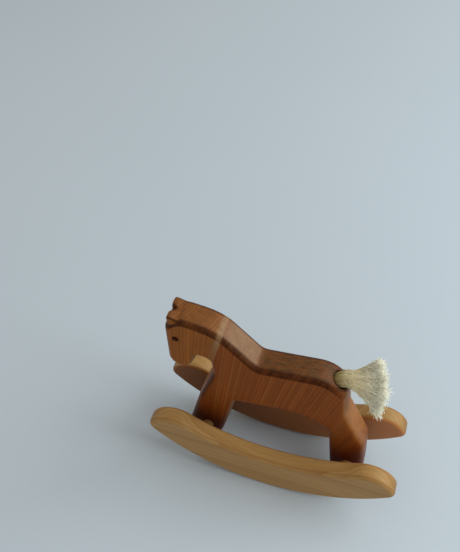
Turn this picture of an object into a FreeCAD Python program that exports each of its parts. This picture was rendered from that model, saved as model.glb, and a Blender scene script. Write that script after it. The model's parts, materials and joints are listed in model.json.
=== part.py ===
import FreeCAD, Part
import math
import os
import re

import Sketcher
from FreeCAD import Placement, Rotation, Vector

# A small wooden rocking horse. The horse is one carved plank that stands between two
# curved rockers on two cross dowels. It has two inlaid eye pegs and a yarn tail.
# Frame: +Z up, the horse looks along -X, its left side is -Y. The origin is on the
# floor, under the middle of the rockers.

# name, value in millimetres or degrees, meaning
DRIVING_SIZES = [
    ("rocker_length", 131.2, "over its two nose circles, which the heels trim by under 1 mm each"),
    ("rocker_arc", 87.0, "radius of the rocker's lower and upper curve"),
    ("rocker_depth", 27.4, "height of the rocker at its middle"),
    ("rocker_board", 9.0, "board thickness of a rocker"),
    ("rocker_spacing", 34.5, "between the middles of the two rockers"),
    ("nose_radius", 14.5, "round nose at each end of a rocker"),
    ("heel_radius", 5.0, "corner where the nose meets the lower curve"),
    ("rocker_edge", 2.2, "rounding of the rocker's long edges"),
    ("horse_board", 14.6, "board thickness of the horse"),
    ("horse_edge", 3.6, "rounding of the horse's edges"),
    ("ear_board", 13.0, "width over both ears"),
    ("dowel_diameter", 6.0, "cross dowels"),
    ("dowel_seat", 5.0, "depth of a dowel in each rocker"),
    ("dowel_height", 22.5, "height of both dowels above the floor"),
    ("front_dowel_place", 36.8, "front dowel, ahead of the middle"),
    ("rear_dowel_place", 39.0, "rear dowel, behind the middle"),
    ("eye_diameter", 3.0, "eye pegs"),
    ("eye_depth", 5.0, "depth of an eye peg in the head"),
    ("eye_proud", 0.5, "height of an eye's dome"),
    ("tail_bore", 8.2, "diameter of the tail hole"),
    ("tail_bore_depth", 12.0, "depth of the tail hole"),
    ("tail_rise", 42.0, "angle of the tail hole above level"),
    ("tie_radius", 4.1, "round bulge of the tied yarn"),
    ("tie_out", 1.2, "middle of the bulge, out from the mouth of the hole"),
    ("tail_gap", 0.4, "clearance round the bulge"),
    ("tassel_rise", 8.0, "angle of the loose yarn above level"),
]


def make_sheet(document):
    """Put the driving sizes into the spreadsheet, one alias each."""
    sheet = document.addObject("Spreadsheet::Sheet", "Sizes")
    for row, (alias, value, meaning) in enumerate(DRIVING_SIZES, start=1):
        sheet.set(f"A{row}", alias)
        sheet.set(f"B{row}", str(value))
        sheet.set(f"C{row}", meaning)
        sheet.setAlias(f"B{row}", alias)
    document.recompute()
    return sheet


def size(name):
    """A driving size, as a plain number."""
    return float(getattr(sizes, name))


def bind(thing, prop, expression):
    """Tie a property to the sheet. Names with an underscore in the expression are aliases."""
    thing.setExpression(prop, re.sub(r"[a-z]+(?:_[a-z]+)+", r"Sizes.\g<0>", expression))


def new_body(label):
    body = doc.addObject("PartDesign::Body", label)
    body.Label = label
    return body


def origin_plane(body, role):
    return next(item for item in body.Origin.OriginFeatures if item.Role == role)


def new_sketch(body, name, role="XZ_Plane"):
    sketch = body.newObject("Sketcher::SketchObject", name)
    sketch.AttachmentSupport = [(origin_plane(body, role), "")]
    sketch.MapMode = "FlatFace"
    return sketch


def close_chain(sketch, count):
    """Join each curve of a closed outline to the next, at the ends that already meet."""
    start_and_end = (1, 2)
    for index in range(count):
        following = (index + 1) % count
        meets = [
            (sketch.getPoint(index, mine).distanceToPoint(sketch.getPoint(following, theirs)), mine, theirs)
            for mine in start_and_end
            for theirs in start_and_end
        ]
        _, mine, theirs = min(meets)
        sketch.addConstraint(Sketcher.Constraint("Coincident", index, mine, following, theirs))


def pad_both_ways(body, sketch, expression):
    pad = body.newObject("PartDesign::Pad", f"{sketch.Name}Pad")
    pad.Profile = sketch
    pad.SideType = "Symmetric"
    bind(pad, "Length", expression)
    return pad


def long_edges(shape, half_width):
    """Names of the edges that lie on the two flat sides, y = +-half_width."""
    names = []
    for index, edge in enumerate(shape.Edges, start=1):
        box = edge.BoundBox
        if box.YLength < 1e-6 and abs(abs(box.YMin) - half_width) < 1e-6:
            names.append(f"Edge{index}")
    return names


def round_sides(body, base, half_width, radius_alias):
    fillet = body.newObject("PartDesign::Fillet", f"{base.Name}Rounded")
    fillet.Base = (base, long_edges(base.Shape, half_width))
    bind(fillet, "Radius", radius_alias)
    return fillet


def polygon_with_rounds(corners):
    """Lines and tangent arcs of a closed outline, from (x, z, corner radius) entries."""
    count = len(corners)
    starts = []
    ends = []
    arcs = []
    for index, (x, z, radius) in enumerate(corners):
        here = Vector(x, z, 0)
        before = Vector(*corners[index - 1][:2], 0)
        after = Vector(*corners[(index + 1) % count][:2], 0)
        back = (before - here).normalize()
        ahead = (after - here).normalize()
        half_angle = back.getAngle(ahead) / 2
        reach = radius / math.tan(half_angle)
        middle = (back + ahead).normalize()
        centre = here + middle * (radius / math.sin(half_angle))
        starts.append(here + back * reach)
        ends.append(here + ahead * reach)
        arcs.append(Part.Arc(starts[-1], centre - middle * radius, ends[-1]))
    curves = []
    for index in range(count):
        curves.append(arcs[index])
        curves.append(Part.LineSegment(ends[index], starts[(index + 1) % count]))
    return curves


def drill(body, name, diameter_alias, depth_expression, placement):
    """Cut a round hole that runs along the placement's +Z."""
    tool = body.newObject("PartDesign::SubtractiveCylinder", name)
    tool.Placement = placement
    bind(tool, "Radius", f"{diameter_alias} / 2")
    bind(tool, "Height", depth_expression)
    return tool


# ---------------------------------------------------------------- rockers


def rocker_outline():
    """Six tangent arcs: lower curve, heel, nose, upper curve, nose, heel."""
    arc = size("rocker_arc")
    nose = size("nose_radius")
    heel = size("heel_radius")
    low_centre = Vector(0, arc, 0)
    high_centre = Vector(0, arc + size("rocker_depth"), 0)
    nose_x = size("rocker_length") / 2 - nose
    nose_z = high_centre.y - math.sqrt((arc + nose) ** 2 - nose_x**2)
    nose_centre = Vector(nose_x, nose_z, 0)
    # The heel touches the nose circle and the lower curve from inside.
    to_nose = nose_centre - low_centre
    apart = to_nose.Length
    from_low = arc - heel
    from_nose = nose - heel
    along = (apart**2 + from_low**2 - from_nose**2) / (2 * apart)
    aside = math.sqrt(from_low**2 - along**2)
    unit = Vector(to_nose).normalize()
    heel_centre = low_centre + unit * along + Vector(-unit.y, unit.x, 0) * aside
    low_end = low_centre + (heel_centre - low_centre).normalize() * arc
    heel_end = nose_centre + (heel_centre - nose_centre).normalize() * nose
    nose_end = high_centre + (nose_centre - high_centre).normalize() * arc

    def mirror(point):
        return Vector(-point.x, point.y, 0)

    def bulge(centre, start, end, radius):
        toward = ((start + end) * 0.5 - centre).normalize()
        return centre + toward * radius

    heel_middle = bulge(heel_centre, low_end, heel_end, heel)
    nose_middle = bulge(nose_centre, heel_end, nose_end, nose)
    return [
        Part.Arc(mirror(low_end), Vector(0, 0, 0), low_end),
        Part.Arc(low_end, heel_middle, heel_end),
        Part.Arc(heel_end, nose_middle, nose_end),
        Part.Arc(nose_end, Vector(0, size("rocker_depth"), 0), mirror(nose_end)),
        Part.Arc(mirror(nose_end), mirror(nose_middle), mirror(heel_end)),
        Part.Arc(mirror(heel_end), mirror(heel_middle), mirror(low_end)),
    ]


def make_rocker(label, side):
    """A curved board with two blind dowel seats in its inner face. side is -1 or +1 along Y."""
    body = new_body(label)
    sketch = new_sketch(body, f"{label}_outline")
    curves = rocker_outline()
    sketch.addGeometry(curves, False)
    close_chain(sketch, len(curves))
    for index, alias in enumerate(("rocker_arc", "heel_radius", "nose_radius")):
        rule = sketch.addConstraint(Sketcher.Constraint("Radius", index, size(alias)))
        bind(sketch, f"Constraints[{rule}]", alias)
    pad = pad_both_ways(body, sketch, "rocker_board")
    doc.recompute()
    round_sides(body, pad, size("rocker_board") / 2, "rocker_edge")
    doc.recompute()
    before = body.Shape.Volume
    seat_floor = side * (size("dowel_seat") - size("rocker_board") / 2)
    inward = Rotation(Vector(0, 0, 1), Vector(0, -side, 0))
    for name, place in (("front_seat", front_dowel_x), ("rear_seat", rear_dowel_x)):
        start = Vector(place, seat_floor, size("dowel_height"))
        drill(body, f"{label}_{name}", "dowel_diameter", "rocker_board", Placement(start, inward))
    doc.recompute()
    seats = 2 * math.pi * (size("dowel_diameter") / 2) ** 2 * size("dowel_seat")
    assert abs(before - body.Shape.Volume - seats) < 1.0, "the dowel seats are not as deep as meant"
    body.Placement = Placement(Vector(0, side * size("rocker_spacing") / 2, 0), Rotation())
    bind(body, "Placement.Base.y", f"{side} * rocker_spacing / 2")
    return body


# ---------------------------------------------------------------- horse

# Side outline without the ears, clockwise from the poll: x, z, corner radius.
HORSE_OUTLINE = [
    (-50.0, 109.9, 6.0),
    (-31.5, 107.6, 24.0),
    (-11.8, 87.6, 4.5),
    (20.6, 92.2, 14.0),
    (30.6, 84.4, 6.0),
    (32.8, 66.8, 9.0),
    (45.3, 41.8, 14.0),
    (48.0, 13.0, 4.2),
    (30.4, 13.0, 4.2),
    (25.7, 50.0, 8.0),
    (12.0, 58.4, 30.0),
    (-22.2, 51.8, 2.5),
    (-29.7, 13.0, 4.2),
    (-48.8, 13.0, 4.2),
    (-41.4, 49.0, 30.0),
    (-33.8, 74.0, 12.0),
    (-35.8, 84.8, 4.0),
    (-41.6, 84.4, 2.5),
    (-46.0, 72.2, 4.6),
    (-56.4, 71.6, 6.6),
    (-57.4, 103.5, 6.8),
]
# Side outline of the ears, which stand on the front of the head.
EAR_OUTLINE = [
    (-57.1, 111.1, 1.6),
    (-49.5, 108.6, 8.0),
    (-43.5, 103.0, 1.5),
    (-54.0, 103.0, 1.5),
]
# V-shaped notch between the ears, at its open front and at its closed end:
# x, height of the valley, height of the rims, half width at the rims.
EAR_NOTCH = [
    (-62.0, 100.5, 115.0, 9.0),
    (-51.0, 109.5, 112.0, 0.6),
]
EYE_PLACE = Vector(-51.6, 0, 95.6)
TAIL_MOUTH = Vector(26.9, 0, 88.1)


def flat_outline(sketch, corners):
    curves = polygon_with_rounds(corners)
    sketch.addGeometry(curves, False)
    close_chain(sketch, len(curves))


def make_horse():
    body = new_body("horse_body")
    outline = new_sketch(body, "horse_outline")
    flat_outline(outline, HORSE_OUTLINE)
    plank = pad_both_ways(body, outline, "horse_board")
    doc.recompute()
    round_sides(body, plank, size("horse_board") / 2, "horse_edge")
    ears = new_sketch(body, "ear_outline")
    flat_outline(ears, EAR_OUTLINE)
    pad_both_ways(body, ears, "ear_board")
    doc.recompute()
    cut_between_ears(body)
    for name, place in (("front_foot_bore", front_dowel_x), ("rear_foot_bore", rear_dowel_x)):
        start = Vector(place, -size("horse_board"), size("dowel_height"))
        along_y = Rotation(Vector(0, 0, 1), Vector(0, 1, 0))
        drill(body, name, "dowel_diameter", "2 * horse_board", Placement(start, along_y))
    for name, side in (("left_eye_bore", -1), ("right_eye_bore", 1)):
        floor_of_bore = side * (size("horse_board") / 2 - size("eye_depth"))
        start = EYE_PLACE + Vector(0, floor_of_bore, 0)
        outward = Rotation(Vector(0, 0, 1), Vector(0, side, 0))
        drill(body, name, "eye_diameter", "2 * eye_depth", Placement(start, outward))
    start = TAIL_MOUTH - tail_axis * size("tail_bore_depth")
    along_tail = Rotation(Vector(0, 0, 1), tail_axis)
    drill(body, "tail_bore_cut", "tail_bore", "2 * tail_bore_depth", Placement(start, along_tail))
    doc.recompute()
    return body


def cut_between_ears(body):
    """A V-shaped notch that widens and deepens towards the front."""
    sections = []
    for number, (place, valley, rim, spread) in enumerate(EAR_NOTCH):
        sketch = new_sketch(body, f"ear_notch_section_{number}", "YZ_Plane")
        sketch.AttachmentOffset = Placement(Vector(0, 0, place), Rotation())
        corners = [Vector(0, valley, 0), Vector(spread, rim, 0), Vector(-spread, rim, 0)]
        lines = [Part.LineSegment(corners[i], corners[(i + 1) % 3]) for i in range(3)]
        sketch.addGeometry(lines, False)
        close_chain(sketch, 3)
        sections.append(sketch)
    before = body.Shape.Volume
    notch = body.newObject("PartDesign::SubtractiveLoft", "ear_notch")
    notch.Profile = sections[0]
    notch.Sections = sections[1:]
    notch.Ruled = True
    doc.recompute()
    assert body.Shape.Volume < before - 1.0, "the notch between the ears cuts nothing"


# ---------------------------------------------------------------- dowels and eyes


def make_dowel(label, place):
    dowel = doc.addObject("Part::Cylinder", f"{label}_rod")
    bind(dowel, "Radius", "dowel_diameter / 2")
    bind(dowel, "Height", "rocker_spacing - rocker_board + 2 * dowel_seat")
    doc.recompute()
    ends = doc.addObject("Part::Chamfer", label)
    ends.Base = dowel
    rims = [(i, 0.5, 0.5) for i, edge in enumerate(dowel.Shape.Edges, start=1) if edge.Closed]
    ends.Edges = rims
    ends.Label = label
    start = Vector(place, -dowel.Height.Value / 2, size("dowel_height"))
    ends.Placement = Placement(start, Rotation(Vector(0, 0, 1), Vector(0, 1, 0)))
    return ends


def make_eye(label, side):
    """A round peg with a low dome, which is the cap of a larger ball."""
    peg = doc.addObject("Part::Cylinder", f"{label}_rod")
    bind(peg, "Radius", "eye_diameter / 2")
    bind(peg, "Height", "eye_depth")
    dome = doc.addObject("Part::Sphere", f"{label}_dome")
    ball_radius = "(eye_diameter^2 / 4 + eye_proud^2) / (2 * eye_proud)"
    bind(dome, "Radius", ball_radius)
    bind(dome, "Angle1", f"asin(1 - eye_proud / ({ball_radius}))")
    bind(dome, "Placement.Base.z", f"eye_depth + eye_proud - {ball_radius}")
    eye = doc.addObject("Part::Fuse", label)
    eye.Label = label
    eye.Base = peg
    eye.Tool = dome
    start = EYE_PLACE + Vector(0, side * (size("horse_board") / 2 - size("eye_depth")), 0)
    eye.Placement = Placement(start, Rotation(Vector(0, 0, 1), Vector(0, side, 0)))
    return eye


# ---------------------------------------------------------------- tail


# Cross-sections of the loose yarn: distance from the pivot along it, height of the
# middle above its axis, half width, half height.
TASSEL_SECTIONS = [
    (3.4, 0.0, 4.1, 4.2),
    (8.5, 0.4, 5.4, 7.0),
    (13.5, -0.6, 8.5, 13.0),
    (18.5, -2.5, 10.5, 18.5),
]


def make_tail_root():
    """The folded end of the yarn, glued into the bottom of the tail hole."""
    root = doc.addObject("Part::Cylinder", "tail_root")
    root.Label = "tail_root"
    bind(root, "Radius", "tail_bore / 2")
    bind(root, "Height", "tail_bore_depth + tie_out - tie_radius - tail_gap")
    start = TAIL_MOUTH - tail_axis * size("tail_bore_depth")
    root.Placement = Placement(start, Rotation(Vector(0, 0, 1), tail_axis))
    return root


def make_tail_tie():
    """The round bulge of loops and thread at the mouth of the hole."""
    tie = doc.addObject("Part::Sphere", "tail_tie")
    tie.Label = "tail_tie"
    bind(tie, "Radius", "tie_radius")
    tie.Placement = Placement(tail_pivot, Rotation())
    return tie


def make_tail_tassel():
    """The loose yarn: a flattened cone, hollowed where the bulge sits."""
    body = new_body("tail_tassel")
    sections = []
    for number, (reach, rise_here, across, height) in enumerate(TASSEL_SECTIONS):
        sketch = new_sketch(body, f"tassel_section_{number}", "YZ_Plane")
        sketch.AttachmentOffset = Placement(Vector(0, 0, reach), Rotation())
        centre = Vector(0, rise_here, 0)
        top = centre + Vector(0, height, 0)
        side = centre + Vector(across, 0, 0)
        sketch.addGeometry(Part.Ellipse(top, side, centre), False)
        sections.append(sketch)
    loft = body.newObject("PartDesign::AdditiveLoft", "tassel_loft")
    loft.Profile = sections[0]
    loft.Sections = sections[1:]
    hollow = body.newObject("PartDesign::SubtractiveSphere", "tassel_hollow")
    bind(hollow, "Radius", "tie_radius + tail_gap")
    tilt = Rotation(Vector(0, 1, 0), -size("tassel_rise"))
    body.Placement = Placement(tail_pivot, tilt)
    return body


doc = FreeCAD.newDocument("rocking_horse")
sizes = make_sheet(doc)
front_dowel_x = -size("front_dowel_place")
rear_dowel_x = size("rear_dowel_place")
rise = math.radians(size("tail_rise"))
tail_axis = Vector(math.cos(rise), 0, math.sin(rise))
tail_pivot = TAIL_MOUTH + tail_axis * size("tie_out")

parts = [
    make_rocker("left_rocker", -1),
    make_rocker("right_rocker", 1),
    make_horse(),
    make_dowel("front_cross_dowel", front_dowel_x),
    make_dowel("rear_cross_dowel", rear_dowel_x),
    make_eye("left_eye_peg", -1),
    make_eye("right_eye_peg", 1),
    make_tail_root(),
    make_tail_tie(),
    make_tail_tassel(),
]
doc.recompute()

for item in doc.Objects:
    assert not {"Invalid", "Error"} & set(item.State), f"{item.Name} failed: {item.State}"
os.makedirs("parts", exist_ok=True)
for part in parts:
    shape = part.Shape
    assert not shape.isNull() and shape.isValid(), f"{part.Label} has no valid shape"
    shape.exportStep(f"parts/{part.Label}.step")
    box = shape.BoundBox
    print(f"{part.Label:20s} volume {shape.Volume:9.1f}  x {box.XMin:6.1f} {box.XMax:6.1f}"
          f"  y {box.YMin:6.1f} {box.YMax:6.1f}  z {box.ZMin:6.1f} {box.ZMax:6.1f}")
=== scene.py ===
import json
import math

import bmesh
import bpy
import numpy as np
from mathutils import Matrix, Vector


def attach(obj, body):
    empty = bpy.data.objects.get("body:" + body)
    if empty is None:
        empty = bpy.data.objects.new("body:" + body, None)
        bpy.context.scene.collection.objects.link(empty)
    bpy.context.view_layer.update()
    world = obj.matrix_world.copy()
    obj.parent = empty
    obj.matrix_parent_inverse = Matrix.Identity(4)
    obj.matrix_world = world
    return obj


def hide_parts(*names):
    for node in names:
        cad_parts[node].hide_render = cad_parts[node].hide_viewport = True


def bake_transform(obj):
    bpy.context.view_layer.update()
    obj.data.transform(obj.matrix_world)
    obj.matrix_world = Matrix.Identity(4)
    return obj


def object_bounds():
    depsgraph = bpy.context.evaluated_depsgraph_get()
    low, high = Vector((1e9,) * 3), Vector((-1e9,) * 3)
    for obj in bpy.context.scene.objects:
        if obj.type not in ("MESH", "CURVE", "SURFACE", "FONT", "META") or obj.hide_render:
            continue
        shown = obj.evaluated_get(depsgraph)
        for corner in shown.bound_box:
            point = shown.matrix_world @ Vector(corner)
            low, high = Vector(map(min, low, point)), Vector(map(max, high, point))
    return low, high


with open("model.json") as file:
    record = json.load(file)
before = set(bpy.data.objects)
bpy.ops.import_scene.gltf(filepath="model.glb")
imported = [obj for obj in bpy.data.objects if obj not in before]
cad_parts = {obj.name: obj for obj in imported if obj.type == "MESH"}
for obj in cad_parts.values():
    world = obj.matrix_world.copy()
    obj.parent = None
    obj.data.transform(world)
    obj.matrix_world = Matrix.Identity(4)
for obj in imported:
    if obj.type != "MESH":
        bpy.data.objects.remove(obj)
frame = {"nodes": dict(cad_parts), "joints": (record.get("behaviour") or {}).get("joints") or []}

# A small carved rocking horse with a yarn tail. Lengths are metres in the frame of the
# CAD model: +Z up, the horse looks along -X, its left side is -Y.

MM = 0.001
cad_low, cad_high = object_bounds()
scene = bpy.context.scene
rng = np.random.default_rng(seed=20)


# ---------------------------------------------------------------- node helpers


class Shader:
    """One material's node tree, with a short call for each kind of node it needs."""

    def __init__(self, name):
        self.material = bpy.data.materials.new(name)
        self.material.use_nodes = True
        self.tree = self.material.node_tree
        self.tree.nodes.clear()
        self.surface = self.node("ShaderNodeBsdfPrincipled")
        output = self.node("ShaderNodeOutputMaterial")
        self.tree.links.new(self.surface.outputs["BSDF"], output.inputs["Surface"])

    def node(self, kind, **settings):
        made = self.tree.nodes.new(kind)
        for key, value in settings.items():
            setattr(made, key, value)
        return made

    def feed(self, socket, value):
        if isinstance(value, bpy.types.NodeSocket):
            self.tree.links.new(value, socket)
        else:
            socket.default_value = value

    def math(self, operation, first, second=0.0):
        made = self.node("ShaderNodeMath", operation=operation)
        self.feed(made.inputs[0], first)
        self.feed(made.inputs[1], second)
        return made.outputs[0]

    def times(self, first, *others):
        """The product of some values."""
        for other in others:
            first = self.math("MULTIPLY", first, other)
        return first

    def length(self, vector):
        made = self.node("ShaderNodeVectorMath", operation="LENGTH")
        self.feed(made.inputs[0], vector)
        return made.outputs["Value"]

    def scaled(self, vector, amount):
        made = self.node("ShaderNodeVectorMath", operation="SCALE")
        self.feed(made.inputs[0], vector)
        self.feed(made.inputs["Scale"], amount)
        return made.outputs["Vector"]

    def split(self, vector):
        made = self.node("ShaderNodeSeparateXYZ")
        self.feed(made.inputs[0], vector)
        return made.outputs

    def join(self, x, y, z):
        made = self.node("ShaderNodeCombineXYZ")
        for socket, value in zip(made.inputs, (x, y, z)):
            self.feed(socket, value)
        return made.outputs[0]

    def noise(self, place, scale, detail=3.0, roughness=0.5):
        """Smooth noise from 0 to 1, centred on a half."""
        made = self.node("ShaderNodeTexNoise", noise_dimensions="3D")
        self.feed(made.inputs["Vector"], place)
        self.feed(made.inputs["Scale"], scale)
        self.feed(made.inputs["Detail"], detail)
        self.feed(made.inputs["Roughness"], roughness)
        return made.outputs["Fac"]

    def random(self, number):
        """A random value from 0 to 1 for each whole number."""
        made = self.node("ShaderNodeTexWhiteNoise", noise_dimensions="1D")
        self.feed(made.inputs["W"], number)
        return made.outputs["Value"]

    def step(self, value, low, high, out_low=0.0, out_high=1.0):
        """Smooth step: out_low below low, out_high above high."""
        made = self.node("ShaderNodeMapRange", interpolation_type="SMOOTHSTEP")
        for socket, number in zip(made.inputs, (value, low, high, out_low, out_high)):
            self.feed(socket, number)
        return made.outputs[0]

    def mix(self, share, first, second):
        """Mix two colours."""
        made = self.node("ShaderNodeMix", data_type="RGBA")
        factor, colour_a, colour_b = made.inputs[0], made.inputs[6], made.inputs[7]
        self.feed(factor, share)
        self.feed(colour_a, first)
        self.feed(colour_b, second)
        return made.outputs[2]

    def tint(self, base, colour, *shares):
        """Take a colour towards another by the product of the shares."""
        return self.mix(self.times(*shares), base, colour)

    def bump(self, height, distance, strength=1.0):
        made = self.node("ShaderNodeBump")
        self.feed(made.inputs["Height"], height)
        self.feed(made.inputs["Distance"], distance)
        self.feed(made.inputs["Strength"], strength)
        self.tree.links.new(made.outputs[0], self.surface.inputs["Normal"])

    def place_mm(self):
        """The point on the object, in millimetres of the CAD frame."""
        made = self.node("ShaderNodeTexCoord")
        return self.scaled(made.outputs["Object"], 1.0 / MM)

    def normal(self):
        return self.node("ShaderNodeTexCoord").outputs["Normal"]


def rgb(red, green, blue):
    return (red, green, blue, 1.0)


# ---------------------------------------------------------------- woods


def year_rings(shader, across, depth, centre, spacing, warp):
    """Growth rings round a far pith: (late wood from 0 to 1, random tone of each year)."""
    reach = shader.join(
        shader.math("SUBTRACT", across, centre[0]),
        shader.math("SUBTRACT", depth, centre[1]),
        0.0,
    )
    rings = shader.math("ADD", shader.length(reach), warp)
    years = shader.math("DIVIDE", rings, spacing)
    part = shader.math("FRACT", years)
    late = shader.times(shader.step(part, 0.35, 0.93), shader.step(part, 0.95, 1.0, 1.0, 0.0))
    return late, shader.random(shader.math("FLOOR", years))


HORSE_RED = rgb(0.280, 0.070, 0.009)
HORSE_TAN = rgb(0.345, 0.110, 0.019)
HORSE_LATE = rgb(0.095, 0.021, 0.002)
HORSE_END = rgb(0.102, 0.051, 0.016)
HORSE_RUMP = rgb(0.140, 0.068, 0.028)
# Painted shade for the feet between the rockers.
FOOT_PAINTED_SHADE = rgb(0.080, 0.010, 0.001)
# Dark oil marks on the back; also painted shade along the edges and round the tail hole.
OIL_MARK_AND_EDGE_SHADE = rgb(0.040, 0.010, 0.003)
# Paler face cut along the rings, with painted light where it faces the lamp.
FLAT_FACE_AND_PAINTED_LIGHT = rgb(0.400, 0.165, 0.045)
# Painted grey sheen of the neck.
NECK_PAINTED_SHEEN = rgb(0.210, 0.150, 0.095)
SAPWOOD = rgb(0.370, 0.240, 0.120)
# The places and sizes below are in millimetres.
# The grain fans out a little from a point far below the horse: x and z.
GRAIN_FOOT = (-66.0, -290.0)
GRAIN_LEVEL = 90.0
HORSE_PITH = (-140.0, 60.0)
HORSE_YEAR = 1.7
HORSE_FINE_YEAR = 0.61
STRIPE_EDGE = 24.4
STRIPE_LEAN = 0.115
STRIPE_FADE = (84.0, 110.0)
NECK_END = (-2.0, 6.0)
HEAD_TO_BACK = (-34.0, -8.0)
BACK_TO_RUMP = (4.0, 26.0)
# Heights over which painted shade darkens the feet.
FOOT_SHADE_HEIGHTS = (20.0, 66.0)
HOLE_X = 27.0
HOLE_Z = 88.0
HOLE_RIM = (4.6, 6.6)


def horse_grain(shader, x, z):
    """Distance over the grain, in millimetres at the height of the back."""
    height = shader.math("SUBTRACT", z, GRAIN_FOOT[1])
    spread = shader.math("DIVIDE", GRAIN_LEVEL - GRAIN_FOOT[1], height)
    return shader.times(shader.math("SUBTRACT", x, GRAIN_FOOT[0]), spread)


def upright_grain(shader, across, y, z, heart, sway, streak):
    """Growth rings cut lengthwise: (colour, late wood from 0 to 1)."""
    warp = shader.times(sway, 5.0)
    late, year_tone = year_rings(shader, across, y, HORSE_PITH, HORSE_YEAR, warp)
    fine_late, fine_tone = year_rings(shader, across, y, HORSE_PITH, HORSE_FINE_YEAR, warp)
    base = shader.mix(heart, HORSE_TAN, HORSE_RED)
    base = shader.tint(base, HORSE_TAN, shader.step(year_tone, 0.45, 1.0, 0.0, 0.55))
    base = shader.tint(base, HORSE_LATE, shader.step(fine_tone, 0.3, 1.0, 0.0, 0.22))
    base = shader.tint(base, HORSE_LATE, late, shader.step(streak, 0.30, 0.66, 0.10, 0.38))
    base = shader.tint(base, HORSE_LATE, fine_late, 0.22)
    return base, late


def oiled_top(shader, base, x, y, z, end_grain, unstriped):
    """Darker end grain on top: mottled, plainer on the head and marked lengthwise on the back."""
    mottle = shader.noise(shader.join(shader.times(x, 0.30), y, z), 0.55, 4.0, 0.65)
    patches = shader.step(mottle, 0.36, 0.64, 1.0, 0.60)
    top_colour = shader.mix(shader.step(x, *BACK_TO_RUMP), HORSE_END, HORSE_RUMP)
    on_back = shader.step(x, *HEAD_TO_BACK, 0.6, 1.0)
    base = shader.tint(base, top_colour, end_grain, patches, on_back, unstriped)
    along = shader.join(shader.times(x, 0.10), y, shader.times(z, 0.25))
    marks = shader.step(shader.noise(along, 1.5, 4.0, 0.6), 0.48, 0.66, 0.0, 0.55)
    on_back = shader.step(x, *HEAD_TO_BACK, 0.2, 1.0)
    return shader.tint(base, OIL_MARK_AND_EDGE_SHADE, marks, end_grain, on_back, unstriped)


def painted_edge_shade(shader, base, x, y, z, sideways, normal_z, streak, unstriped):
    """Painted shade: a dark line on the rounding beside the top face, and painted shadow round the tail
    hole.
    """
    off_side = shader.step(sideways, 0.955, 0.999, 1.0, 0.0)
    rounding = shader.times(shader.step(sideways, 0.16, 0.56), off_side)
    above = shader.times(shader.step(normal_z, 0.03, 0.22), shader.step(streak, 0.25, 0.75, 0.92, 0.70))
    above = shader.times(above, shader.step(x, 20.0, 36.0, 1.0, 0.0))
    base = shader.tint(base, OIL_MARK_AND_EDGE_SHADE, rounding, above, unstriped)
    off_hole = shader.join(shader.math("SUBTRACT", x, HOLE_X), y, shader.math("SUBTRACT", z, HOLE_Z))
    # Painted shadow in the gap round the tail hole.
    near_hole = shader.step(shader.length(off_hole), *HOLE_RIM, 0.80, 0.0)
    return shader.tint(base, OIL_MARK_AND_EDGE_SHADE, near_hole)


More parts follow.
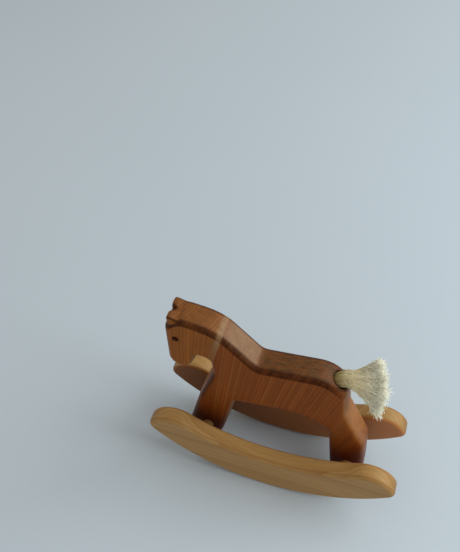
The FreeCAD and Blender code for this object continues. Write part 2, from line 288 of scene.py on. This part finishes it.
def horse_wood():
    """Oiled reddish wood with upright grain and a pale stripe of sapwood through the neck."""
    shader = Shader("horse_wood")
    x, y, z = shader.split(shader.place_mm())[:3]
    normal_x, normal_y, normal_z = shader.split(shader.normal())[:3]
    sideways = shader.math("ABSOLUTE", normal_y)
    across = horse_grain(shader, x, z)
    sway = shader.noise(shader.join(across, y, shader.times(z, 0.08)), 0.05, 2.0)
    fibre_place = shader.join(across, y, shader.times(z, 0.05))
    fibre = shader.noise(fibre_place, 2.6, 4.0, 0.65)
    streak = shader.noise(fibre_place, 0.33, 3.0, 0.6)

    # Behind the pale stripe is the redder heart of the tree.
    stripe_line = shader.math("SUBTRACT", across, shader.times(z, STRIPE_LEAN))
    stripe_line = shader.math("ADD", stripe_line, shader.times(sway, 1.2))
    heart = shader.step(stripe_line, STRIPE_EDGE - 0.4, STRIPE_EDGE + 0.2)
    base, late = upright_grain(shader, across, y, z, heart, sway, streak)
    into_stripe = shader.step(stripe_line, STRIPE_EDGE - 4.0, STRIPE_EDGE - 1.6)
    fade_down = shader.step(z, *STRIPE_FADE, 0.12, 0.70)
    stripe = shader.times(into_stripe, fade_down, shader.math("SUBTRACT", 1.0, heart))
    base = shader.tint(base, SAPWOOD, stripe)
    unstriped = shader.math("SUBTRACT", 1.0, shader.times(stripe, 0.8))

    # Faces turned towards +X, where the window lamp falls, are paler: partly the paler cut along the
    # rings, partly painted light. On the neck they carry a grey painted sheen.
    flat_face_and_painted_light = shader.step(normal_x, 0.36, 0.80, 0.0, 0.65)
    base = shader.tint(base, FLAT_FACE_AND_PAINTED_LIGHT, flat_face_and_painted_light)
    base = shader.tint(base, NECK_PAINTED_SHEEN, flat_face_and_painted_light, shader.step(x, *NECK_END, 1.0, 0.0))

    # Painted shade darkens the feet where they stand between the rockers, the hind foot most. The end
    # grain on top took more oil, and the edges get a painted dark line.
    low_down = shader.step(z, *FOOT_SHADE_HEIGHTS, 1.0, 0.0)
    base = shader.tint(base, FOOT_PAINTED_SHADE, low_down, shader.step(x, 0.0, 36.0, 0.80, 0.95))
    end_grain = shader.step(shader.math("ABSOLUTE", normal_z), 0.72, 0.97, 0.0, 0.90)
    base = oiled_top(shader, base, x, y, z, end_grain, unstriped)
    base = painted_edge_shade(shader, base, x, y, z, sideways, normal_z, streak, unstriped)

    fine_tone = shader.step(fibre, 0.25, 0.75, 0.84, 1.14)
    tone = shader.math("ADD", fine_tone, shader.step(streak, 0.3, 0.7, -0.12, 0.12))
    shader.feed(shader.surface.inputs["Base Color"], shader.scaled(base, tone))
    rough = shader.math("ADD", shader.step(fibre, 0.2, 0.8, 0.36, 0.48), shader.times(end_grain, 0.10))
    shader.feed(shader.surface.inputs["Roughness"], rough)
    gloss = shader.step(sideways, 0.2, 0.9, 0.18, 0.06)
    shader.feed(shader.surface.inputs["Specular IOR Level"], gloss)
    shader.bump(shader.math("ADD", shader.times(fibre, 0.7), shader.times(late, 0.5)), 0.06 * MM, 0.6)
    return shader.material


ROCKER_PALE = rgb(0.430, 0.240, 0.078)
ROCKER_WARM = rgb(0.350, 0.168, 0.046)
ROCKER_LATE = rgb(0.240, 0.098, 0.024)
ROCKER_END = rgb(0.230, 0.105, 0.032)
# Inner faces of the rockers: heartwood red with painted shade at the front and painted red reflected
# light.
INNER_HEART_PAINTED_SHADE = rgb(0.200, 0.058, 0.008)
INNER_HEART_PAINTED_BOUNCE = rgb(0.520, 0.190, 0.055)
DOWEL_PALE = rgb(0.340, 0.165, 0.055)


ROCKER_PITH = (-46.0, 90.0)
ROCKER_YEAR = 2.2


def rocker_wood():
    """Oiled pale wood with its grain along the rocker."""
    shader = Shader("rocker_wood")
    x, y, z = shader.split(shader.place_mm())[:3]
    normal_x, normal_y, normal_z = shader.split(shader.normal())[:3]
    grain = shader.join(shader.times(x, 0.05), y, z)
    warp = shader.times(shader.noise(grain, 0.07, 2.0), 6.0)
    late, year_tone = year_rings(shader, z, y, ROCKER_PITH, ROCKER_YEAR, warp)
    fibre = shader.noise(grain, 2.2, 4.0, 0.65)
    streak = shader.noise(grain, 0.35, 3.0, 0.6)

    base = shader.mix(shader.step(year_tone, 0.2, 1.0, 0.0, 0.5), ROCKER_PALE, ROCKER_WARM)
    base = shader.tint(base, ROCKER_LATE, late, 0.20)
    base = shader.tint(base, ROCKER_WARM, shader.step(streak, 0.55, 0.78, 0.0, 0.5))
    end_grain = shader.step(shader.math("ABSOLUTE", normal_x), 0.62, 0.95, 0.0, 0.6)
    base = shader.tint(base, ROCKER_END, end_grain)
    # The inner faces are redder: partly the heart side of the board, partly painted red light reflected
    # from the horse, with painted shade under the horse's front that fades towards the rear.
    inward = shader.times(normal_y, shader.math("SIGN", y), -1.0)
    heart = shader.mix(shader.step(x, -45.0, 60.0), INNER_HEART_PAINTED_SHADE, INNER_HEART_PAINTED_BOUNCE)
    base = shader.tint(base, heart, shader.step(inward, 0.35, 0.9, 0.0, 0.85))
    # Painted shade: a brown line where the top rounds over into the outer face, where the rounding
    # reflects little light.
    rim_painted_shade = shader.times(shader.step(inward, -0.85, -0.45), shader.step(inward, -0.45, -0.15, 1.0, 0.0))
    base = shader.tint(base, ROCKER_LATE, rim_painted_shade, shader.step(normal_z, 0.2, 0.6, 0.0, 0.45))

    tone = shader.step(fibre, 0.25, 0.75, 0.90, 1.08)
    shader.feed(shader.surface.inputs["Base Color"], shader.scaled(base, tone))
    shader.feed(shader.surface.inputs["Roughness"], shader.step(fibre, 0.2, 0.8, 0.36, 0.48))
    shader.surface.inputs["Specular IOR Level"].default_value = 0.18
    shader.bump(shader.math("ADD", shader.times(fibre, 0.7), shader.times(late, 0.4)), 0.05 * MM, 0.5)
    return shader.material


def dowel_wood():
    """Plain pale dowel with fine grain along Y."""
    shader = Shader("dowel_wood")
    x, y, z = shader.split(shader.place_mm())[:3]
    grain = shader.join(x, shader.times(y, 0.06), z)
    fibre = shader.noise(grain, 2.4, 4.0, 0.65)
    pore = shader.noise(grain, 7.0, 2.0, 0.6)
    base = shader.mix(shader.step(fibre, 0.3, 0.7), DOWEL_PALE, ROCKER_LATE)
    base = shader.tint(base, ROCKER_LATE, shader.step(pore, 0.62, 0.75, 0.0, 0.6))
    shader.feed(shader.surface.inputs["Base Color"], base)
    shader.feed(shader.surface.inputs["Roughness"], shader.step(fibre, 0.2, 0.8, 0.42, 0.55))
    shader.bump(fibre, 0.05 * MM, 0.6)
    return shader.material


EYE_BROWN = rgb(0.060, 0.012, 0.005)
EYE_BLACK = rgb(0.018, 0.004, 0.002)


def eye_wood():
    """Very dark end grain, polished."""
    shader = Shader("eye_wood")
    place = shader.place_mm()
    pore = shader.noise(place, 3.0, 3.0, 0.6)
    base = shader.mix(shader.step(pore, 0.35, 0.65), EYE_BROWN, EYE_BLACK)
    shader.feed(shader.surface.inputs["Base Color"], base)
    shader.feed(shader.surface.inputs["Roughness"], shader.step(pore, 0.2, 0.8, 0.42, 0.55))
    shader.surface.inputs["Specular IOR Level"].default_value = 0.03
    shader.bump(pore, 0.04 * MM, 0.4)
    return shader.material


YARN_PALE = rgb(0.990, 0.955, 0.775)
YARN_CREAM = rgb(0.980, 0.870, 0.580)
YARN_ROOT = rgb(0.440, 0.330, 0.125)
# Painted shade for strands deep in the yarn.
YARN_SHADE = rgb(0.620, 0.480, 0.220)


def tail_yarn():
    """Matt cotton. The strands are creamier near the hole and whiter at their loose ends."""
    shader = Shader("tail_yarn")
    ends = shader.node("ShaderNodeAttribute", attribute_name="toward_end").outputs["Fac"]
    strand = shader.node("ShaderNodeAttribute", attribute_name="strand_tone").outputs["Fac"]
    fluff = shader.noise(shader.place_mm(), 2.2, 4.0, 0.7)
    base = shader.mix(shader.step(ends, 0.04, 0.26), YARN_ROOT, YARN_CREAM)
    base = shader.tint(base, YARN_PALE, shader.step(ends, 0.30, 0.90))
    # Painted shade: a random share of the strands is darkened as if deep in the yarn, more towards the
    # hole.
    deep_strand_painted_shade = shader.step(strand, 0.55, 0.95, 0.0, 0.65)
    base = shader.tint(base, YARN_SHADE, deep_strand_painted_shade, shader.step(ends, 0.4, 1.0, 1.0, 0.25))
    tone = shader.step(fluff, 0.25, 0.75, 0.88, 1.08)
    shader.feed(shader.surface.inputs["Base Color"], shader.scaled(base, tone))
    shader.feed(shader.surface.inputs["Roughness"], shader.step(fluff, 0.2, 0.8, 0.8, 0.95))
    shader.surface.inputs["Specular IOR Level"].default_value = 0.2
    shader.bump(fluff, 0.03 * MM, 0.4)
    return shader.material


FLOOR_GREY = rgb(0.545, 0.610, 0.655)
FLOOR_PALE = rgb(0.560, 0.625, 0.670)


def floor_paint():
    """A plain pale tabletop."""
    shader = Shader("floor_paint")
    place = shader.node("ShaderNodeTexCoord").outputs["Object"]
    cloud = shader.noise(place, 3.0, 2.0)
    speck = shader.noise(place, 900.0, 2.0)
    base = shader.mix(shader.step(cloud, 0.3, 0.7), FLOOR_GREY, FLOOR_PALE)
    tone = shader.step(speck, 0.3, 0.7, 0.985, 1.015)
    shader.feed(shader.surface.inputs["Base Color"], shader.scaled(base, tone))
    shader.feed(shader.surface.inputs["Roughness"], shader.step(speck, 0.3, 0.7, 0.52, 0.60))
    return shader.material


# ---------------------------------------------------------------- mesh helpers


def link_piece(name, mesh, material):
    piece = bpy.data.objects.new(name, mesh)
    scene.collection.objects.link(piece)
    mesh.materials.clear()
    mesh.materials.append(material)
    return piece


def smooth_shaded(mesh):
    mesh.polygons.foreach_set("use_smooth", np.ones(len(mesh.polygons), bool))
    mesh.update()


def welded_copy(node):
    """A copy of a CAD node's mesh with its split edges joined."""
    copy = frame["nodes"][node].data.copy()
    work = bmesh.new()
    work.from_mesh(copy)
    bmesh.ops.remove_doubles(work, verts=work.verts, dist=0.001 * MM)
    work.to_mesh(copy)
    work.free()
    return copy


def applied(piece):
    """Turn a piece's modifiers into its own mesh."""
    graph = bpy.context.evaluated_depsgraph_get()
    mesh = bpy.data.meshes.new_from_object(piece.evaluated_get(graph))
    piece.modifiers.clear()
    piece.data = mesh
    return mesh


def points_of(mesh):
    flat = np.empty(len(mesh.vertices) * 3, np.float32)
    mesh.vertices.foreach_get("co", flat)
    return flat.reshape(-1, 3).astype(float)


def tubes(name, paths, radii, sides):
    """One mesh of closed tubes. paths is strands x points x 3; radii is strands x points."""
    strands, count = paths.shape[:2]
    tangent = np.gradient(paths, axis=1)
    tangent /= np.linalg.norm(tangent, axis=2, keepdims=True)
    reference = np.zeros_like(tangent)
    reference[..., 1] = 1.0
    first = np.cross(tangent, reference)
    first /= np.linalg.norm(first, axis=2, keepdims=True)
    second = np.cross(tangent, first)
    turns = np.arange(sides) * 2 * math.pi / sides
    ring = first[:, :, None] * np.cos(turns)[:, None] + second[:, :, None] * np.sin(turns)[:, None]
    points = paths[:, :, None] + ring * radii[:, :, None, None]

    start = (np.arange(strands) * count * sides)[:, None, None]
    row = (np.arange(count - 1) * sides)[None, :, None]
    here = np.arange(sides)[None, None, :]
    after = (here + 1) % sides
    walls = np.stack([start + row + here, start + row + after,
                      start + row + sides + after, start + row + sides + here], axis=-1)
    root_caps = start[:, 0] + np.arange(sides)[::-1]
    tip_caps = start[:, 0] + (count - 1) * sides + np.arange(sides)
    faces = walls.reshape(-1, 4).tolist() + root_caps.tolist() + tip_caps.tolist()
    mesh = bpy.data.meshes.new(name)
    mesh.from_pydata(points.reshape(-1, 3).tolist(), [], faces)
    smooth_shaded(mesh)
    return mesh


def set_attribute(mesh, name, values):
    layer = mesh.attributes.new(name, "FLOAT", "POINT")
    layer.data.foreach_set("value", values.astype(np.float32).ravel())


# ---------------------------------------------------------------- horse


EARS_ABOVE = 99.0
EARS_BEFORE = -43.0
EARS_FADE = 4.0


def near_ears(points):
    """How far each point belongs to the ears, from 0 to 1."""
    above = np.clip((points[:, 2] / MM - EARS_ABOVE) / EARS_FADE, 0.0, 1.0)
    before = np.clip((EARS_BEFORE - points[:, 0] / MM) / EARS_FADE, 0.0, 1.0)
    return above * before


def sanded_horse():
    """The carved plank, with its crisp CAD edges softened as sandpaper leaves them."""
    mesh = welded_copy("horse_body")
    piece = link_piece("carved_horse", mesh, horse_wood())
    skin = piece.modifiers.new("even_skin", "REMESH")
    skin.mode = "VOXEL"
    skin.voxel_size = 0.45 * MM
    sanding = piece.modifiers.new("sanding", "SMOOTH")
    sanding.factor = 0.5
    sanding.iterations = 6
    share = near_ears(points_of(applied(piece)))
    ears = piece.vertex_groups.new(name="ears")
    for index in np.nonzero(share > 0.0)[0].tolist():
        ears.add([index], float(share[index]), "REPLACE")
    softer = piece.modifiers.new("softer_ears", "SMOOTH")
    softer.factor = 0.5
    softer.iterations = 22
    softer.vertex_group = "ears"
    mesh = applied(piece)
    smooth_shaded(mesh)
    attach(piece, "horse")
    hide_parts("horse_body")
    return piece


# ---------------------------------------------------------------- tail

tail_pivot = Vector(frame["joints"][0]["pos_m"])
BORE_RISE = math.radians(42.0)
STRANDS = 1120
STRAND_POINTS = 18
STRAND_SIDES = 5
LOOPS = 260
LOOP_POINTS = 14
LOOP_SIDES = 4
# The lengths and radii below are in millimetres.
STRAND_LENGTH = 17.4
SHORTER_ABOVE = 4.3
LONGER_BELOW = 0.6
DROOP = 5.0
STRAND_RADII = (0.11, 0.18)
LOOP_RADII = (0.15, 0.24)
LOOP_LONGER = (-2.8, 1.8)
# The bundle under the loose strands: its share of their spread, and how its end closes.
CORE = 0.905
CORE_END = (1.0, 0.86, 0.58, 0.15)
ROOT_CORE_SHORTER = 2.6
BRUSH_CORE_SHORTER = 5.5
# The direction of the horse's upper left in a cut through the brush.
LEFT_UP = 0.787
LEFT_SIDE = 0.617
LEFT_SPREAD = 0.30


def disk_points(count, inner):
    """Random points in a unit disk: a third spread evenly, the rest outside the inner radius."""
    least = np.where(rng.random(count) < 0.33, 0.0, inner**2)
    reach = np.sqrt(rng.uniform(least, 1.0))
    turn = rng.random(count) * 2 * math.pi
    return reach * np.cos(turn), reach * np.sin(turn)


def bezier(points, count):
    """Cubic curves through strands x 4 x 3 control points."""
    t = np.linspace(0.0, 1.0, count)[None, :, None]
    a, b, c, d = (points[:, k, None, :] for k in range(4))
    return (1 - t) ** 3 * a + 3 * (1 - t) ** 2 * t * b + 3 * (1 - t) * t**2 * c + t**3 * d


def crinkled(paths, amplitude, wave, free_from):
    """Bend each strand in small random waves, more towards its loose end."""
    strands, count = paths.shape[:2]
    share = np.linspace(0.0, 1.0, count)[None, :]
    length = np.linalg.norm(np.diff(paths, axis=1), axis=2).sum(1)[:, None]
    freedom = np.clip((share - free_from) / (1 - free_from), 0.0, 1.0) ** 0.6
    bent = paths.copy()
    for axis in range(3):
        pace = wave * rng.uniform(0.7, 1.5, (strands, 1))
        phase = rng.uniform(0.0, 2 * math.pi, (strands, 1))
        slow = np.sin(share * length / pace * 2 * math.pi + phase)
        fast = np.sin(share * length / pace * 4.7 * math.pi + phase * 2)
        size = amplitude * rng.uniform(0.4, 1.3, (strands, 1))
        bent[..., axis] += size * freedom * (slow + 0.4 * fast)
    return bent


def strand_lines(across, upward, longer, count):
    """Lines of the brush from places in its round neck: (across, upward) in a unit disk."""
    pivot = np.array(tail_pivot)
    raised = (across + upward) / math.sqrt(2.0)
    # The brush spreads less towards the horse's upper left.
    upper_left = LEFT_UP * upward - LEFT_SIDE * across
    along = LEFT_SIDE * upward + LEFT_UP * across
    upper_left = upper_left * np.where(upper_left > 0.0, LEFT_SPREAD, 1.0)
    spread_up = LEFT_UP * upper_left + LEFT_SIDE * along
    spread_side = LEFT_UP * along - LEFT_SIDE * upper_left
    lift = np.radians(4.0 + np.where(raised > 0.0, 42.0, 28.0) * spread_up + 7.0 * raised)
    turn = np.radians(np.where(raised > 0.0, 32.0, 22.0) * spread_side + 4.0 * raised)
    heading = np.stack([np.cos(lift) * np.cos(turn), np.cos(lift) * np.sin(turn), np.sin(lift)], 1)
    shorter = np.where(raised > 0.0, SHORTER_ABOVE, LONGER_BELOW) * raised
    length = ((STRAND_LENGTH - shorter) * MM + longer)[:, None]
    none = np.zeros_like(across)
    root = pivot + np.stack([none - 1.8, 0.2 + 1.5 * across, 1.5 * upward - 0.2], 1) * MM
    neck = pivot + np.stack([none + 4.4, 0.3 + 4.5 * across, 0.8 + 4.5 * upward], 1) * MM
    low = np.clip(-raised, 0.0, 1.0)
    sooner = np.stack([none + 1.0, 0.7 - 0.4 * low, 0.5 - 0.5 * low], 1)
    bend = neck + heading * length * 0.42 * sooner
    tip = neck + heading * length * 0.86
    tip[:, 2] -= np.clip(-0.1 - raised, 0.0, None) * DROOP * MM
    return bezier(np.stack([root, neck, bend, tip], 1), count)


def loop_lines(across, upward, longer, count):
    """Lines of the folded yarn that fills the hole and runs out of it into the neck."""
    pivot = np.array(tail_pivot)
    axis = np.array([math.cos(BORE_RISE), 0.0, math.sin(BORE_RISE)])
    over = np.array([-math.sin(BORE_RISE), 0.0, math.cos(BORE_RISE)])
    spread = np.array([0.0, 1.0, 0.0]) * across[:, None] + over * upward[:, None]
    root = pivot - axis * 6.0 * MM + spread * 3.3 * MM
    mouth = pivot - axis * 0.2 * MM + (spread * 3.6 + [0.0, 0.5, 0.0]) * MM
    crest = pivot + axis * 2.0 * MM + (spread * 4.6 + [0.0, 0.5, 0.0]) * MM
    wide = 4.4 + 0.2 * longer / MM
    neck = pivot + np.stack([5.2 + longer / MM, 0.3 + wide * across, 0.7 + wide * upward], 1) * MM
    return bezier(np.stack([root, mouth, crest, neck], 1), count)


def root_core_lines(across, upward, count):
    """Lines of the bundle under the folded yarn."""
    return loop_lines(across, upward, np.full_like(across, -ROOT_CORE_SHORTER * MM), count)


def brush_core_lines(across, upward, count):
    """Lines of the bundle under the brush."""
    return strand_lines(across, upward, -BRUSH_CORE_SHORTER * MM, count)


def core_rings(lines_of, rows, around, start):
    """Rings of points on a bundle, fluted like yarn. start is how open its first ring is."""
    turn = np.arange(around) * 2 * math.pi / around
    size = CORE * rng.uniform(0.98, 1.02, around)
    lines = lines_of(size * np.cos(turn), size * np.sin(turn), rows)
    heart = lines.mean(axis=0)
    closing = np.ones(rows)
    closing[0] = start
    closing[-len(CORE_END):] = CORE_END
    return heart + (lines - heart) * closing[None, :, None]


def closed_loft(name, lines):
    """One closed mesh through around x rows points."""
    around, rows = lines.shape[:2]
    here = np.arange(around)
    after = (here + 1) % around
    faces = []
    for row in range(rows - 1):
        low_row, high_row = row * around, (row + 1) * around
        corners = [low_row + here, low_row + after, high_row + after, high_row + here]
        faces += np.stack(corners, 1).tolist()
    faces.append(here[::-1].tolist())
    faces.append(((rows - 1) * around + here).tolist())
    mesh = bpy.data.meshes.new(name)
    mesh.from_pydata(lines.transpose(1, 0, 2).reshape(-1, 3).tolist(), [], faces)
    smooth_shaded(mesh)
    return mesh


def tail_strands():
    """The loose yarn over the brush."""
    across, upward = disk_points(STRANDS, 0.78)
    outward = 1.0 + rng.normal(0.0, 0.04, STRANDS)
    longer = rng.normal(0.0, 1.1, STRANDS) * MM
    paths = strand_lines(across * outward, upward * outward, longer, STRAND_POINTS)
    stray = np.where(rng.random(STRANDS) < 0.12, 2.4, 1.0)[:, None]
    paths = crinkled(paths, 0.58 * MM * stray, 2.3 * MM, 0.12)
    share = np.linspace(0.0, 1.0, STRAND_POINTS)[None, :]
    radii = rng.uniform(*STRAND_RADII, (STRANDS, 1)) * MM * (1.0 - 0.4 * share**3)
    mesh = tubes("yarn_strands", paths, radii, STRAND_SIDES)
    shape = np.ones((STRANDS, STRAND_POINTS, STRAND_SIDES))
    set_attribute(mesh, "toward_end", share[:, :, None] * shape)
    set_attribute(mesh, "strand_tone", rng.random((STRANDS, 1, 1)) * shape)
    return mesh


def tail_loops():
    """The yarn at the hole."""
    across, upward = disk_points(LOOPS, 0.70)
    longer = (rng.uniform(*LOOP_LONGER, LOOPS) - np.clip(-upward, 0.0, 1.0)) * MM
    paths = loop_lines(across, upward, longer, LOOP_POINTS)
    paths = crinkled(paths, 0.30 * MM, 2.4 * MM, 0.0)
    share = np.linspace(0.0, 1.0, LOOP_POINTS)[None, :]
    radii = rng.uniform(*LOOP_RADII, (LOOPS, 1)) * MM * (1.0 - 0.55 * share**2)
    mesh = tubes("yarn_loops", paths, radii, LOOP_SIDES)
    shape = np.ones((LOOPS, LOOP_POINTS, LOOP_SIDES))
    set_attribute(mesh, "toward_end", 0.25 * share[:, :, None] * shape)
    set_attribute(mesh, "strand_tone", rng.random((LOOPS, 1, 1)) * shape)
    return mesh


def core_mesh(name, lines, start_tone, end_tone):
    """A bundle whose yarn tone runs from its first ring to its last."""
    mesh = closed_loft(name, lines)
    around, rows = lines.shape[:2]
    toward_end = np.linspace(start_tone, end_tone, rows)[:, None] * np.ones((rows, around))
    set_attribute(mesh, "toward_end", toward_end)
    set_attribute(mesh, "strand_tone", rng.random(around)[None, :] * np.ones((rows, around)))
    return mesh


def make_tail():
    """Yarn in the hole and the brush beyond it, built in place of the CAD tail parts."""
    yarn = tail_yarn()

    root_rings = core_rings(root_core_lines, 12, 72, 0.3)
    root_core = link_piece("tail_root_core", core_mesh("root_core", root_rings, 0.0, 0.2), yarn)
    loops = link_piece("tail_loops", tail_loops(), yarn)
    for piece in (loops, root_core):
        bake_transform(piece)
    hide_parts("tail_root", "tail_tie")

    brush_rings = core_rings(brush_core_lines, 24, 110, 0.9)
    brush_core = link_piece("tail_core", core_mesh("brush_core", brush_rings, 0.1, 0.8), yarn)
    strands = link_piece("tail_strands", tail_strands(), yarn)
    for piece in (strands, brush_core):
        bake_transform(piece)
    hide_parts("tail_tassel")


# ---------------------------------------------------------------- CAD nodes with new finishes


def finish_cad_nodes():
    finishes = {
        rocker_wood(): ("left_rocker", "right_rocker"),
        dowel_wood(): ("front_cross_dowel", "rear_cross_dowel"),
        eye_wood(): ("left_eye_peg", "right_eye_peg"),
    }
    for material, nodes in finishes.items():
        for node in nodes:
            frame["nodes"][node].material_slots[0].material = material


# ---------------------------------------------------------------- stage, light and camera


def make_floor():
    reach = 3.0
    mesh = bpy.data.meshes.new("floor")
    corners = [(-reach, -reach, 0), (reach, -reach, 0), (reach, reach, 0), (-reach, reach, 0)]
    mesh.from_pydata(corners, [], [(0, 1, 2, 3)])
    link_piece("floor", mesh, floor_paint())


def make_light(name, toward, distance, size, power, colour):
    """A soft square lamp that looks at the horse from a direction."""
    lamp = bpy.data.lights.new(name, "AREA")
    lamp.shape = "SQUARE"
    lamp.size = size
    lamp.energy = power
    lamp.color = colour
    holder = bpy.data.objects.new(name, lamp)
    scene.collection.objects.link(holder)
    direction = Vector(toward).normalized()
    holder.location = direction * distance + (cad_low + cad_high) / 2
    holder.rotation_euler = direction.to_track_quat("Z", "Y").to_euler()


def make_world():
    world = bpy.data.worlds.new("soft_room")
    world.use_nodes = True
    backdrop = world.node_tree.nodes["Background"]
    backdrop.inputs["Color"].default_value = rgb(1.0, 0.985, 0.955)
    backdrop.inputs["Strength"].default_value = 0.48
    scene.world = world


CAMERA_AZIMUTH = math.radians(17.4)
CAMERA_ELEVATION = math.radians(50.6)
CAMERA_ROLL = math.radians(0.4)
CAMERA_PLACE = Vector((0.02848, -0.17827, 0.36962))


def make_camera():
    lens = bpy.data.cameras.new("camera")
    lens.sensor_width = 24.0
    lens.lens = 31.0
    holder = bpy.data.objects.new("camera", lens)
    scene.collection.objects.link(holder)
    sine, cosine = math.sin(CAMERA_AZIMUTH), math.cos(CAMERA_AZIMUTH)
    level = math.cos(CAMERA_ELEVATION)
    back = Vector((sine * level, -cosine * level, math.sin(CAMERA_ELEVATION)))
    right = Vector((cosine, sine, 0.0))
    up = back.cross(right)
    turned = Matrix((right, up, back)).transposed() @ Matrix.Rotation(CAMERA_ROLL, 3, "Z")
    holder.matrix_world = Matrix.Translation(CAMERA_PLACE) @ turned.to_4x4()
    scene.camera = holder


sanded_horse()
make_tail()
finish_cad_nodes()
make_floor()
make_world()
make_light("window", toward=(0.95, 0.26, 0.80), distance=1.05, size=1.0, power=10.0,
           colour=(0.87, 0.955, 1.0))
make_camera()
scene.view_settings.view_transform = "Standard"
